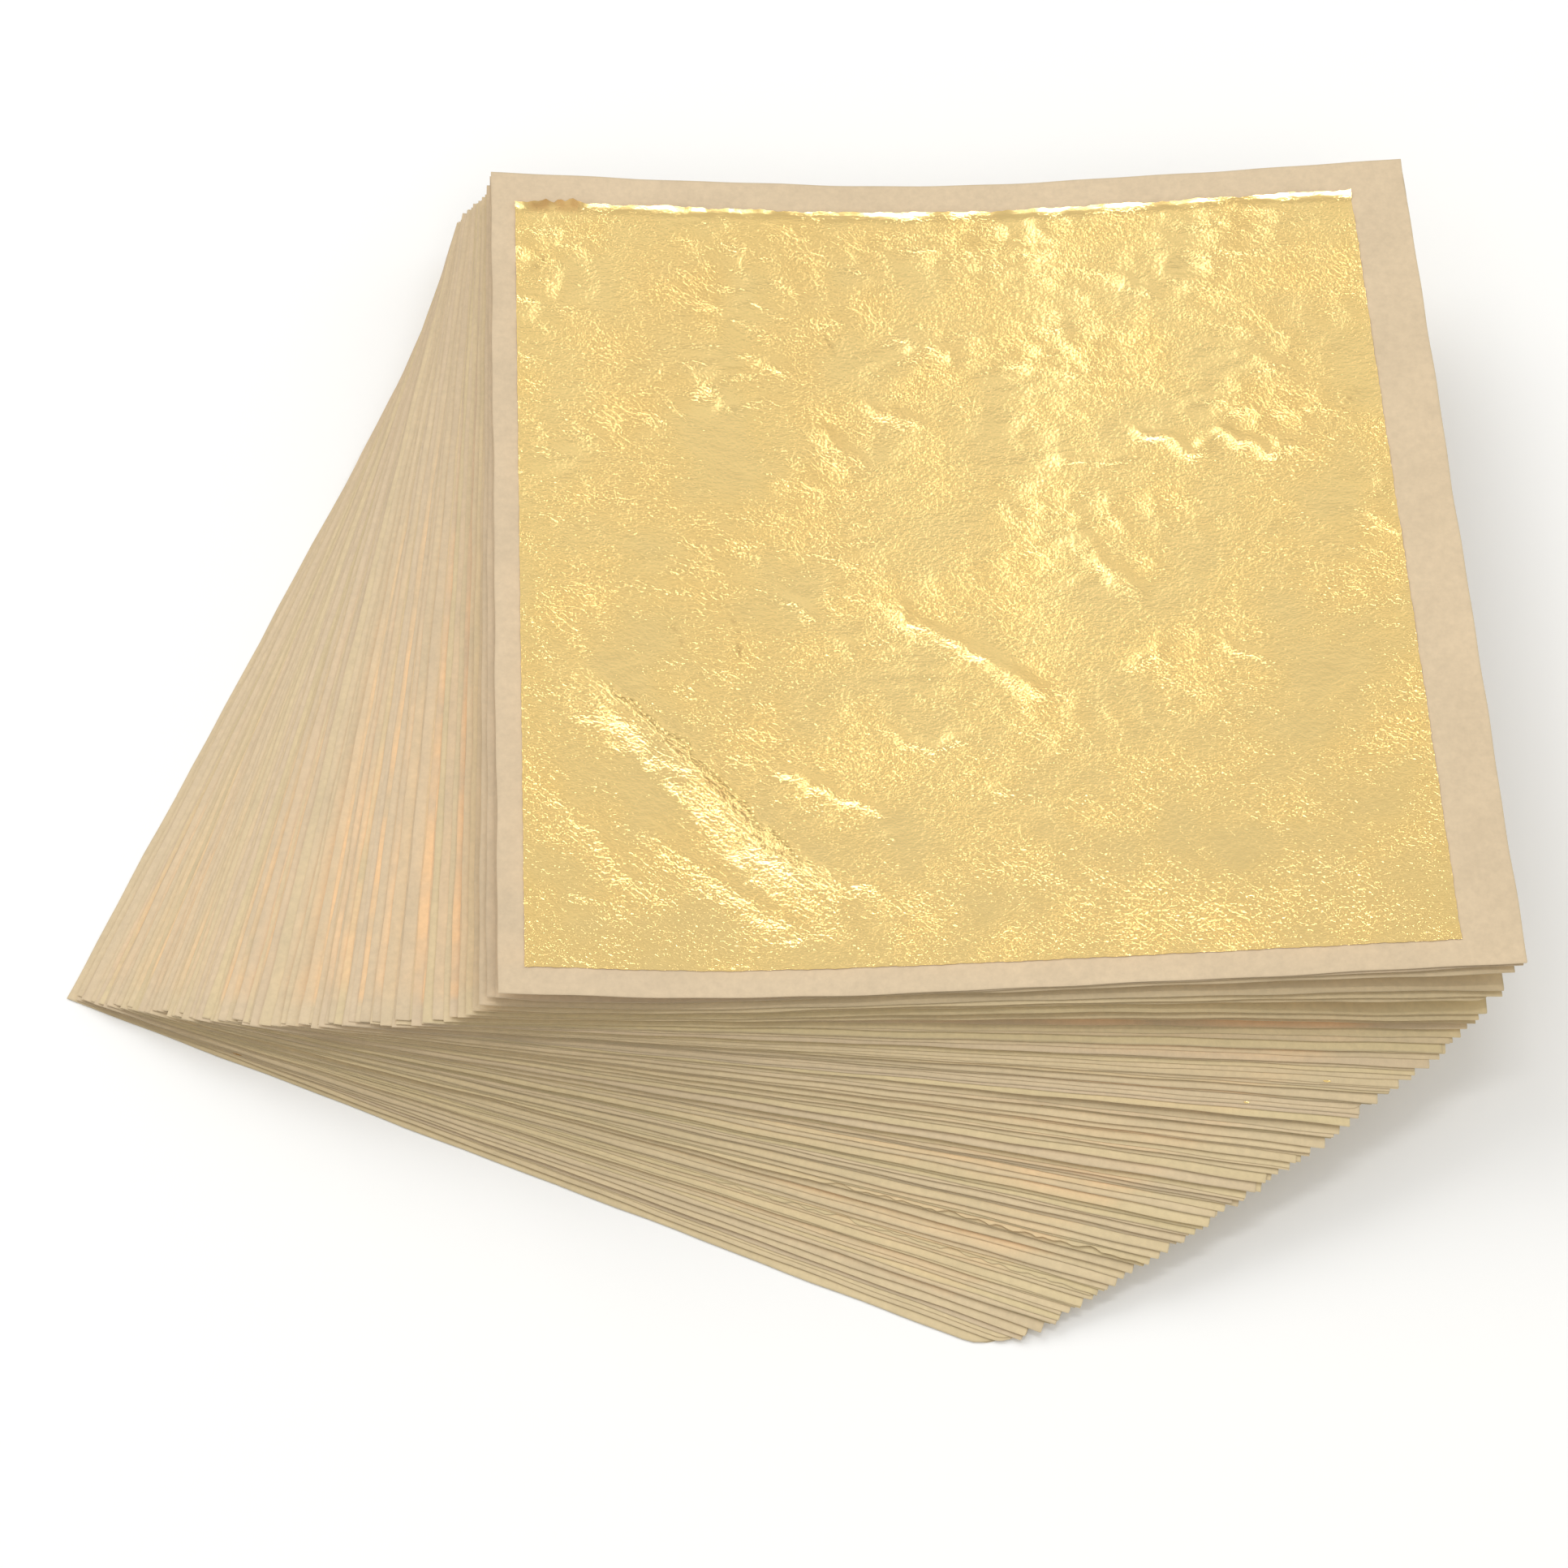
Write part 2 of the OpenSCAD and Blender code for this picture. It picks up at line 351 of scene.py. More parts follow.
def bow_at(p):
    """Height of the top interleaf's bow at points p: linear between the cells of a fine grid."""
    u, v = on_sheet(sheet_count - 1, p)
    x = np.clip((u - bow_u[0]) / BOW_STEP, 0, len(bow_u) - 1.001)
    y = np.clip((v - bow_u[0]) / BOW_STEP, 0, len(bow_u) - 1.001)
    i, j = x.astype(int), y.astype(int)
    a, b = x - i, y - j
    back = bow_surface[j, i] * (1 - a) + bow_surface[j, i + 1] * a
    near = bow_surface[j + 1, i] * (1 - a) + bow_surface[j + 1, i + 1] * a
    return back * (1 - b) + near * b


chance = np.random.default_rng(GAP_SEED)
wave_turns = chance.uniform(0, 2 * np.pi, (sheet_count, GAP_WAVES))
wave_lengths = chance.uniform(*GAP_WAVE_LENGTHS, (sheet_count, GAP_WAVES))
wave_starts = chance.uniform(0, 2 * np.pi, (sheet_count, GAP_WAVES))
wave_vectors = np.stack([np.cos(wave_turns), np.sin(wave_turns)], -1) * (2 * np.pi / wave_lengths)[..., None]
own_gap = np.exp(chance.normal(0, OWN_GAP_SPREAD, sheet_count))
for sheet, factor in WIDE_GAPS.items():
    own_gap[sheet] *= factor
place_in_clump = np.arange(sheet_count) % sheets_per_clump
is_flat = np.arange(sheet_count) < flat_count
own_gap[is_flat & (place_in_clump % 2 == 1)] *= CLING_GAP
own_gap[is_flat & (place_in_clump == 0)] *= CLUMP_GAP
bow_share = np.clip((np.arange(sheet_count) - flat_count + 1) / (sheet_count - flat_count), 0, 1)


def air_under(p):
    """Air gap under each sheet at points p, as an array of sheets by points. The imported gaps
    are shared out again by a weight that is 1 well inside a sheet and the exponential of a
    sum of five waves near its edges. The sum over the flat sheets and the sum over the bowed
    ones stay as packed, and no gap falls below the least one. The top sheet's own weight rises
    to the front, as a bell near its left end and falling below 1 beyond it."""
    u = np.einsum("kpc,kc->kp", p[None] - corner[:, None], rightward)
    v = np.einsum("kpc,kc->kp", p[None] - corner[:, None], frontward)
    inside = np.minimum(np.minimum(u, side - u), np.minimum(v, side - v))
    near_edge = INNER_SHARE + (1 - INNER_SHARE) * np.exp(-(np.clip(inside, 0, None) / EDGE_REACH) ** 2)
    waves = sum(
        np.cos(p @ wave_vectors[:, m].T + wave_starts[:, m]).T for m in range(GAP_WAVES)
    ) * math.sqrt(2 / GAP_WAVES)
    weight = 1 + near_edge * (own_gap[:, None] * np.exp(GAP_SPREAD * waves) - 1)
    to_front = np.clip((v[-1] / side - FRONT_STARTS) / FRONT_SPAN, 0, 1) ** 2
    lift = FRONT_LIFT * np.exp(-((u[-1] - FRONT_LIFT_PLACE) / FRONT_LIFT_REACH) ** 2)
    weight[-1] = 1 + to_front * (lift - FRONT_CLOSE)
    packed = np.diff(level, prepend=0)[:, None] + np.diff(bow_share, prepend=0)[:, None] * bow_at(p)
    spare = packed - TISSUE - LEAST_GAP
    spare[0] = 0
    shared = spare * weight
    for part in (slice(1, flat_count), slice(flat_count, None)):
        shared[part] *= spare[part].sum(0) / shared[part].sum(0)
    return shared + LEAST_GAP


def underside(sheet, p):
    """Height of a sheet's underside at points p: the air and the tissue beneath it, added up."""
    flat = p.reshape(-1, 2)
    heights = air_under(flat)[1:sheet + 1].sum(0) + sheet * TISSUE
    return heights.reshape(p.shape[:-1])


def graded(count, length):
    """Distances from 0 to length, closest together at both ends: half of 1 minus a cosine."""
    return length * (1 - np.cos(np.pi * np.linspace(0, 1, count + 1))) / 2


def sway(places, lengths, seed):
    """A smooth random line through places: a sum of waves of the given lengths."""
    starts = np.random.default_rng(seed).uniform(0, 2 * np.pi, len(lengths))
    return sum(np.sin(2 * np.pi * places / length + start) for length, start in zip(lengths, starts))


def cut_outline(sheet, u, v):
    """Moves a grid on a sheet to its cut outline. Each edge sways by a little, fading inwards
    as the eighth power of the distance across. The front edge of a torn sheet steps back
    between two places, and the front-right corner's square is drawn in to a round one."""
    across, down = u / side, v / side
    at_right = sway(v, CUT_WAVES, sheet) * across ** 8
    at_left = sway(v, CUT_WAVES, sheet + 200) * (1 - across) ** 8
    u = u + RAGGED_SIZE * (at_right + at_left)
    at_front = sway(u, CUT_WAVES, sheet + 400) * down ** 8
    at_back = sway(u, CUT_WAVES, sheet + 600) * (1 - down) ** 8
    v = v + RAGGED_SIZE * (at_front + at_back)
    if sheet in TORN_SHEETS:
        start, end = TORN_SHEETS[sheet]
        between = np.clip(np.minimum(u - start, end - u) / TORN_FADE, 0, 1)
        nicks = -abs(sway(u, TORN_WAVES, sheet)) / 2
        v = v + TORN_DEPTH * between * nicks * down ** 20
    radius = SOFT_CORNERS.get(sheet, CORNER_ROUND) * MM
    x, y = np.clip(u - side + radius, 0, None), np.clip(v - side + radius, 0, None)
    pull = np.maximum(x, y) / np.maximum(np.hypot(x, y), 1e-9)
    in_corner = (x > 0) & (y > 0)
    u = np.where(in_corner, side - radius + x * pull, u)
    return u, np.where(in_corner, side - radius + y * pull, v)


def gold_beneath(sheet, p):
    """How much gold shows through a sheet at points p. Each leaf beneath adds its share, which
    falls by the same factor with each tissue between, and ends softly at the leaf's edge. A
    sheet that is lifted off the ones beneath it shows less."""
    seen = np.zeros(p.shape[:-1])
    for depth in range(1, min(SHEETS_SEEN_THROUGH, sheet) + 1):
        u, v = on_sheet(sheet - depth, p)
        left, right, back, front = leaf_edges[sheet - depth]
        inside = np.minimum(np.minimum(u - left, right - u), np.minimum(v - back, front - v))
        share = (1 - SEE_THROUGH) * SEE_THROUGH ** (depth - 1)
        seen += share * np.clip(0.5 + inside / LEAF_EDGE_BLUR, 0, 1)
    return seen * (1 - (1 - LIFTED_SEE_THROUGH) * min(1, LIFTED_FASTER * bow_share[sheet]))


def thin_solid(low, thickness, facts):
    """A closed sheet as (points, faces, facts): a grid of points, rows from back to front, the
    same grid raised by the thickness, and a rim round both. facts has one row for each point."""
    rows, columns = low.shape[:2]
    at = np.arange(rows * columns).reshape(rows, columns)
    cells = np.stack([at[:-1, :-1], at[1:, :-1], at[1:, 1:], at[:-1, 1:]], -1).reshape(-1, 4)
    ring = np.concatenate([at[:-1, 0], at[-1, :-1], at[:0:-1, -1], at[0, :0:-1]])
    after = np.roll(ring, -1)
    rim = np.stack([ring, after, after + at.size, ring + at.size], -1)
    points = np.concatenate([low.reshape(-1, 3), (low + (0, 0, thickness)).reshape(-1, 3)])
    facts = facts.reshape(at.size, -1)
    return points, np.concatenate([cells[:, ::-1], cells + at.size, rim]), np.concatenate([facts, facts])


def make_piece(name, solids, material, body, node):
    """One object from several solids. Each point's facts go into two attributes: where it lies
    on its own sheet with the sheet's number, and its colour marks: on tissue the gold beneath it,
    the sheet's blush and its painted edge shade, on gold its crumpling, its scrap and its painted crease
    shade."""
    point_sets, face_sets, fact_sets = zip(*solids)
    firsts = np.cumsum([0] + [len(points) for points in point_sets[:-1]])
    points = np.concatenate(point_sets)
    faces = np.concatenate([faces + first for faces, first in zip(face_sets, firsts)])
    facts = np.concatenate(fact_sets)
    mesh = bpy.data.meshes.new(name)
    mesh.vertices.add(len(points))
    mesh.vertices.foreach_set("co", points.astype(np.float32).ravel())
    mesh.loops.add(faces.size)
    mesh.loops.foreach_set("vertex_index", faces.ravel().astype(np.int32))
    mesh.polygons.add(len(faces))
    mesh.polygons.foreach_set("loop_start", np.arange(0, faces.size, 4, dtype=np.int32))
    mesh.update(calc_edges=True)
    mesh.polygons.foreach_set("use_smooth", np.ones(len(faces), bool))
    mesh.set_sharp_from_angle(angle=math.radians(55))
    for title, part in (("place_on_sheet", facts[:, :3]), ("tint", facts[:, 3:6])):
        column = mesh.attributes.new(title, "FLOAT_VECTOR", "POINT")
        column.data.foreach_set("vector", part.astype(np.float32).ravel())
    mesh.materials.append(material)
    piece = bpy.data.objects.new(name, mesh)
    bpy.context.collection.objects.link(piece)
    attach(piece, body)
    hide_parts(node)
    return piece


def scaled(tree, vector, scale):
    """A vector multiplied by three numbers."""
    return add(tree, "VectorMath", {0: vector, 1: scale}, operation="MULTIPLY").outputs[0]


def tissue_material():
    """Unsized tissue: pale yellow where nothing but tissue lies beneath, pinker on the outermost
    sheets and by the left edges, warm orange where gold shows through, with a clouded pulp, fine
    fibres, a few dark specks of bark and a thin line of painted shade along each edge, for the shadow under
    it."""
    material, tree, output = new_material("tissue")
    place = add(tree, "Attribute", attribute_name="place_on_sheet").outputs["Vector"]
    tint = add(tree, "SeparateXYZ", {0: add(tree, "Attribute", attribute_name="tint").outputs["Vector"]})
    clouds = add(tree, "TexNoise", {"Vector": place, "Scale": 150.0, "Detail": 3.0})
    pulp = add(tree, "TexNoise", {"Vector": place, "Scale": 1500.0, "Detail": 4.0, "Roughness": 0.65})
    fibres = add(tree, "TexNoise", {
        "Vector": scaled(tree, place, (2600.0, 700.0, 1000.0)), "Scale": 1.0, "Detail": 2.0,
        "Distortion": 1.2,
    })
    base = blend_colour(tree, tint.outputs["Y"], BARE_TISSUE, BLUSH_TISSUE)
    clouded = ramp(tree, clouds.outputs["Fac"], 0.25, 0.6)
    base = blend_colour(tree, maths(tree, "MULTIPLY", tint.outputs["X"], clouded), base, GOLD_THROUGH_TISSUE)
    for noise, shades in ((pulp, PULP_SHADES), (clouds, CLOUD_SHADES)):
        shade = ramp(tree, noise.outputs["Fac"], 0.3, 0.7, *shades)
        base = blend_colour(tree, 1.0, base, shade, "MULTIPLY")
    # Painted shade: a thin dark line along each sheet's edge, for the shadow under the edge
    base = blend_colour(tree, tint.outputs["Z"], base, EDGE_SHADE_TISSUE)
    specks = add(tree, "TexVoronoi", {"Vector": place, "Scale": 150.0})
    lot = add(tree, "SeparateColor", {0: specks.outputs["Color"]}).outputs[0]
    speck = maths(tree, "LESS_THAN", specks.outputs["Distance"], ramp(tree, lot, 0.93, 1.0, 0.0, 0.03))
    base = blend_colour(tree, speck, base, BARK)
    height = maths(tree, "ADD", pulp.outputs["Fac"], fibres.outputs["Fac"])
    bump = add(tree, "Bump", {"Height": height, "Strength": 0.35, "Distance": 0.00003})
    paper = add(tree, "BsdfPrincipled", {
        "Base Color": base, "Roughness": 0.75, "Specular IOR Level": 0.25, "Sheen Weight": 0.15,
        "Normal": bump.outputs["Normal"],
    })
    tree.links.new(paper.outputs[0], output.inputs["Surface"])
    return material


def interleaf(sheet, grid, blush):
    """One interleaf as a thin solid: a graded grid cut to its outline, raised to its place in the
    pack, with the gold beneath it, its blush, which falls off from the left edge, and the painted
    shade line along its edge, for the shadow under it, fainter at the left."""
    v, u = np.meshgrid(graded(grid[0], side), graded(grid[1], side), indexing="ij")
    if sheet in TORN_SHEETS:
        u = np.broadcast_to(np.linspace(0, side, grid[1] + 1), u.shape)
    edge = np.minimum(np.minimum(u, side - u), np.minimum(v, side - v))
    # Painted shade by the edge: strongest at the edge, gone a fraction of a mm in, weaker at the left
    edge_shade = edge_shade_strengths[sheet] * np.exp(-edge / EDGE_LINE) * np.where(u > edge, 1, LEFT_EDGE)
    u, v = cut_outline(sheet, u, v)
    p = seen_from_above(sheet, u, v)
    low = np.dstack([p, underside(sheet, p)])
    number = np.full(u.shape, sheet * SHEET_STEP)
    gold_seen = np.clip(gold_shows[sheet] * gold_beneath(sheet, p), 0, 1)
    blush = np.clip(blush + SIDE_BLUSH * np.exp(-u / SIDE_BLUSH_REACH), 0, 1)
    facts = np.dstack([u, v, number, gold_seen, blush, edge_shade])
    return thin_solid(low, TISSUE, facts)


tissue = tissue_material()
blushes = np.clip(chance.normal(*BLUSH_SPREAD, sheet_count), 0, 1)
edge_shade_strengths = chance.uniform(*EDGE_STRENGTH, sheet_count)
gold_shows = np.exp(chance.normal(*GOLD_SHOWS_SPREAD, sheet_count))
for clump, (body, node) in enumerate(zip(clump_bodies, clump_nodes)):
    first = clump * sheets_per_clump
    sheets = [
        interleaf(sheet, TORN_GRID if sheet in TORN_SHEETS else FLAT_GRID, blushes[sheet])
        for sheet in range(first, first + sheets_per_clump)
    ]
    make_piece(body.replace("clump_", "tissue_clump_"), sheets, tissue, body, node)


# Bowed interleaves: the uppermost tissues, not pressed down by others. They curl up towards
# their corners and part from each other, most of all under the top one.
BOWED_GRID = (60, 72)
TOP_GRID = (110, 110)
TOP_BLUSH = 0.95

for place, (body, node) in enumerate(zip(upper_bodies + ["top_interleaf"], bowed_nodes)):
    sheet = flat_count + place
    is_top = sheet == sheet_count - 1
    blush = TOP_BLUSH if sheet >= sheet_count - 2 else blushes[sheet]
    solid = interleaf(sheet, TOP_GRID if is_top else BOWED_GRID, blush)
    make_piece("tissue_" + body, [solid], tissue, body, node)


# Leaves in the pack: squares of beaten gold, thinner than the tissue that each one lies on.
# Nothing holds them but the tissue's nap, and their edges stop short of the tissue's.
GOLD = 0.008 * MM
GOLD_LIFT = 0.003 * MM
HIDDEN_LEAF_GRID = (16, 16)
GOLD_COLOUR = (1.0, 0.745, 0.315, 1)
WARM_GOLD = (0.99, 0.70, 0.27, 1)
FOLDED_GOLD = (0.74, 0.44, 0.17, 1)
# Painted shade: the dark brown laid along the creases
CREASE_SHADE_GOLD = (0.50, 0.31, 0.12, 1)
GOLD_ROUGHNESS = 0.18
# Bump: its height in metres, the share of the long grain, which runs towards the front right
# and begins part of the way to the front, and how much rougher some places are than others
PEEL_BUMP = 0.000042
GRAIN_WEIGHT = 0.45
GRAIN_TURN = math.radians(42)
GRAIN_FROM, GRAIN_FULL = 32 * MM, 58 * MM
BACK_ROUGHER, FRONT_CALMER = 2.1, 0.95
PATCHES = (0.65, 1.35)
CRUMPLED_ROUGHER = 5.0


def gold_material():
    """Beaten gold, a rough mirror. Its finest crinkles are a bump: short ones all over, and a
    grain of long ones towards the front, running to the front right. Crumpled places have more
    of both. Folded-over scraps are browner, and creases are darkened with painted shade."""
    material, tree, output = new_material("gold_leaf")
    place = add(tree, "Attribute", attribute_name="place_on_sheet").outputs["Vector"]
    crumple_scrap_and_shade = add(tree, "SeparateXYZ", {0: add(tree, "Attribute", attribute_name="tint").outputs["Vector"]})
    clouds = add(tree, "TexNoise", {"Vector": place, "Scale": 120.0, "Detail": 2.0})
    peel = add(tree, "TexNoise", {
        "Vector": scaled(tree, place, (2200.0, 2800.0, 1000.0)), "Scale": 1.0, "Detail": 3.0,
        "Roughness": 0.6, "Distortion": 0.1,
    })
    turned = add(tree, "VectorRotate", {"Vector": place, "Angle": -GRAIN_TURN}, rotation_type="Z_AXIS")
    grain = add(tree, "TexNoise", {
        "Vector": scaled(tree, turned.outputs[0], (420.0, 2600.0, 1000.0)), "Scale": 1.0, "Detail": 2.0,
        "Distortion": 0.6,
    })
    from_back = add(tree, "SeparateXYZ", {0: place}).outputs["Y"]
    forward = ramp(tree, from_back, GRAIN_FROM, GRAIN_FULL)
    grained = maths(tree, "MULTIPLY", forward, grain.outputs["Fac"])
    height = maths(tree, "MULTIPLY_ADD", grained, GRAIN_WEIGHT, peel.outputs["Fac"])
    rougher = ramp(tree, from_back, 0.0, side, BACK_ROUGHER, FRONT_CALMER)
    patchy = ramp(tree, clouds.outputs["Fac"], 0.3, 0.7, *PATCHES)
    uneven = maths(tree, "MULTIPLY", rougher, patchy)
    more = maths(tree, "MULTIPLY_ADD", crumple_scrap_and_shade.outputs["X"], CRUMPLED_ROUGHER, uneven)
    raised = maths(tree, "MULTIPLY", height, more)
    bump = add(tree, "Bump", {"Height": raised, "Strength": 1.0, "Distance": PEEL_BUMP})
    base = blend_colour(tree, ramp(tree, clouds.outputs["Fac"], 0.35, 0.7), GOLD_COLOUR, WARM_GOLD)
    base = blend_colour(tree, crumple_scrap_and_shade.outputs["Y"], base, FOLDED_GOLD)
    # Painted shade: the creases darkened towards a dark brown
    base = blend_colour(tree, crumple_scrap_and_shade.outputs["Z"], base, CREASE_SHADE_GOLD)
    gold = add(tree, "BsdfPrincipled", {
        "Base Color": base, "Metallic": 1.0, "Roughness": GOLD_ROUGHNESS, "Normal": bump.outputs["Normal"],
    })
    tree.links.new(gold.outputs[0], output.inputs["Surface"])
    return material


def leaf_grid(sheet, grid):
    """Places on a sheet of an even grid over its leaf, rows from back to front."""
    left, right, back, front = leaf_edges[sheet]
    v, u = np.meshgrid(
        np.linspace(back, front, grid[0] + 1), np.linspace(left, right, grid[1] + 1), indexing="ij"
    )
    return u, v


def laid_gold(sheet, u, v, curl=0.0):
    """Gold that lies on its interleaf, raised from it by a curl, as a thin solid."""
    p = seen_from_above(sheet, u, v)
    low = np.dstack([p, underside(sheet, p) + TISSUE + GOLD_LIFT + curl])
    number = np.full(u.shape, sheet * SHEET_STEP)
    none = np.zeros(u.shape)
    return thin_solid(low, GOLD, np.dstack([u, v, number, none, none, none]))


# Flakes of broken leaf that cling to the front edges of a few interleaves: each one's sheet, its
# place to the right and its distance from the front edge, and its length and depth, in mm
FLAKES = (
    (60, 3.8, 0.16, 0.7, 0.22), (64, 60.8, 0.16, 0.4, 0.18), (70, 75.5, 0.2, 0.45, 0.2),
    (78, 79.0, 0.16, 0.6, 0.2), (4, 14.5, 0.12, 0.9, 0.16), (45, 22.0, 0.15, 0.35, 0.16),
)
FLAKE_CURL = 0.05 * MM


def flake(sheet, right, in_from_front, long, deep):
    """A flake as a thin solid: a small grid in the shape of an eye, curled up at its two ends by
    the square of the distance from its middle."""
    t, s = np.meshgrid(np.linspace(-1, 1, 5), np.linspace(-1, 1, 9), indexing="ij")
    u = (right + s * long / 2) * MM
    v = side - (in_from_front - t * (1 - 0.7 * s ** 2) * deep / 2) * MM
    return laid_gold(sheet, u, v, FLAKE_CURL * s ** 2)


gold = gold_material()
for clump, (body, node) in enumerate(zip(clump_bodies, clump_leaf_nodes)):
    first = clump * sheets_per_clump
    leaves = [
        laid_gold(sheet, *leaf_grid(sheet, HIDDEN_LEAF_GRID))
        for sheet in range(first, first + sheets_per_clump)
    ]
    leaves += [flake(*facts) for facts in FLAKES if facts[0] // sheets_per_clump == clump]
    make_piece(body.replace("clump_", "gold_clump_"), leaves, gold, body, node)
for place, (body, node) in enumerate(zip(upper_bodies, bowed_leaf_nodes)):
    leaf = laid_gold(flat_count + place, *leaf_grid(flat_count + place, BOWED_GRID))
    make_piece("gold_" + body, [leaf], gold, body, node)


# Top leaf: one whole leaf, laid down by hand on the top tissue. It is crinkled all over,
# most of all at the back, with sharp little ridges and one long broken fold. Its back edge is
# turned up where it was lifted, with a scrap folded over at the left.
TOP_LEAF_GRID = (218, 218)
# Each ridge: its line in mm to the right and front of the tissue's back-left corner, its
# height, and its widths on the front-left and the back-right, in mm
RIDGES = (
    (((34, 46.4), (37.2, 49.4), (41.5, 51.7), (47.5, 57)), 0.17, 1.5, 1.3),
    (((57, 29.3), (61.2, 30.4), (62, 32), (65.8, 30), (69.4, 32.2), (72.8, 31.5)), 0.16, 1.2, 1.0),
    (((23.4, 62.7), (29.3, 66.1), (33.2, 68.3)), 0.11, 0.8, 0.8),
    (((32.9, 58.7), (35.6, 61.5), (38.8, 61.2), (40.9, 60)), 0.09, 0.7, 0.8),
    (((24.8, 45.4), (28.2, 48.2)), 0.09, 0.7, 0.8),
    (((29.3, 50.3), (31.5, 51.7)), 0.09, 0.7, 0.8),
    (((26.9, 74.2), (32, 74.8)), 0.06, 0.5, 0.6),
    (((41.4, 66), (43.8, 65.9)), 0.07, 0.6, 0.7),
    (((31.9, 70.5), (34.2, 70.6)), 0.06, 0.6, 0.7),
    (((28.7, 15.8), (32.5, 15.7)), 0.12, 0.9, 0.9),
    (((18.1, 23.3), (27.1, 20.7)), 0.11, 1.2, 1.5),
    (((19.5, 26.2), (25.4, 24.1)), 0.10, 1.0, 1.2),
    (((32.9, 21.4), (35, 21.4)), 0.10, 0.9, 1.0),
    (((32.9, 25.5), (39.2, 27.5)), 0.12, 1.3, 1.2),
    (((28.9, 28.1), (33.5, 32.2)), 0.12, 1.3, 1.2),
    (((57.3, 11.9), (61.4, 14.5)), 0.10, 1.1, 1.1),
    (((49.2, 17.4), (52.2, 16.7)), 0.10, 1.0, 1.0),
    (((50, 32.1), (57.8, 32.2)), 0.08, 0.7, 0.8),
    (((69, 22.1), (72.7, 23.6)), 0.09, 1.0, 1.0),
    (((72.2, 27.6), (75.5, 27.1)), 0.09, 0.9, 0.9),
    (((51.3, 40.4), (56.7, 47.3)), 0.12, 1.6, 1.4),
    (((54.2, 54.3), (59.1, 52.3)), 0.10, 0.9, 0.9),
    (((62, 52.1), (67.4, 54.4)), 0.09, 0.8, 0.9),
    (((4.8, 65.2), (11.9, 74.9)), 0.06, 1.4, 1.2),
    (((11.5, 68.5), (25.8, 79.7)), 0.06, 1.6, 1.4),
)
LONG_FOLD = ((7.2, 55), (12.6, 59.6), (16.6, 63.6), (19.6, 67.4), (22, 70.9), (24.4, 72.6), (27.2, 75.4))
# The fold's height in mm with its taper, its even front-left band and its back-right flank, the
# crumpled strip behind it, and how far its line and the ridges' lines wander
FOLD_HEIGHT = 0.22
FOLD_TAPER = (1.5, 0.6)
FOLD_FADE = 5
FOLD_BAND = 3.0
FOLD_BACK = 1.7
BAND_GRAIN = 0.04
CRUMPLE_WIDTH = 2.0
CRUMPLE_HEIGHT = 0.04 * MM
CRUMPLE_SIZE = 0.9 * MM
WANDER, WANDER_SIZE = 0.22 * MM, 2.6 * MM
RIDGE_TAPER = (1.5, 0.4)
RIDGE_FADE = 1.5
# Creases: thin broken lines of painted shade, as places in mm, how dark each is and its half width in mm
SHADED_CREASES = (
    (((12.9, 59.3), (17.0, 63.2), (20.1, 67.0), (22.4, 70.6), (24.8, 72.3), (27.2, 74.8)), 0.8, 0.22),
    (((19.2, 45.9), (21, 49.5), (21.1, 52.8)), 0.5, 0.13),
    (((14.7, 47.9), (16.2, 51.5)), 0.3, 0.13),
    (((29.8, 16.1), (31.1, 19.8)), 0.6, 0.16),
    (((2.3, 54.6), (3.6, 53.9)), 0.6, 0.13),
    (((74.2, 31.2), (78.2, 25.5)), 0.4, 0.13),
    (((5.6, 8.8), (3.5, 11.3)), 0.4, 0.2),
    (((24.2, 64.1), (24.7, 64.3)), 1.3, 0.18),
    (((49, 73.8), (49.3, 73.8)), 1.0, 0.18),
    (((50.3, 73.5), (50.6, 73.5)), 1.0, 0.18),
)
# A shallow trough that runs from the back to the front, and the flat place by the tear
TROUGH = ((48.2, 3), (47.4, 26), (45, 52))
TROUGH_DEPTH = 0.11
TROUGH_HALF_WIDTH = 3.6
FLAT_PLACE = ((22.8, 27.2), (30.6, 19.8))
FLAT_HALF_WIDTH = 2.0
# Crinkles: width and depth of a facet, and its height, in mm
CRINKLES = ((6.0, 3.6, 0.021), (2.6, 1.6, 0.007), (1.2, 0.8, 0.003))
CRINKLE_SEED = 4
# Liveliness: patches in mm that are more or less crinkled, the leaf's front and back, and the
# shares that the fold's band, the flat place and the turned edge take away from it
PATCH_SIZE = (19, 13)
PATCH_SPREAD, PATCH_LIMITS = (1.05, 0.45), (0.35, 2)
FRONT_LIVELY, BACK_LIVELIER = 0.40, 1.95
BAND_CALM, FLAT_CALM, TURNED_CALM = 0.95, 0.8, 0.7
# The leaf's ragged edges, its back edge that is turned up, and the scrap folded over on it, with
# where it starts and ends in mm
LEAF_EDGE_WAVES = (0.0011, 0.0029, 0.0083)
LEAF_RAGGED, BACK_RAGGED = 0.022 * MM, 0.05 * MM
TURNED_UP = 0.29 * MM
TURNED_WIDTH = 1.1 * MM
TURNED_WAVES = (0.007, 0.019)
TURNED_SMOOTHER = 0.4
SCRAP = (3.0, 8.6)
SCRAP_DEPTH = 0.9 * MM
SCRAP_REACH = 0.45 * MM
SCRAP_HEIGHT = 0.05 * MM
SCRAP_TINT = 0.95
LEAF_LIFT = 0.05 * MM
LIFT_RAMP = 12 * MM


def random_surface(u, v, long_u, long_v, seed, waves=40):
    """A smooth random surface of unit size: a sum of waves in random directions, stretched
    so that its bumps are about long_u wide and long_v deep."""
    draw = np.random.default_rng(seed)
    turns, starts = draw.uniform(0, 2 * np.pi, (2, waves))
    strength = draw.uniform(0.5, 1.3, waves)
    total = sum(
        np.cos(2 * np.pi * (u * math.cos(a) * k / long_u + v * math.sin(a) * k / long_v) + b)
        for a, b, k in zip(turns, starts, strength)
    )
    return total * math.sqrt(2 / waves)


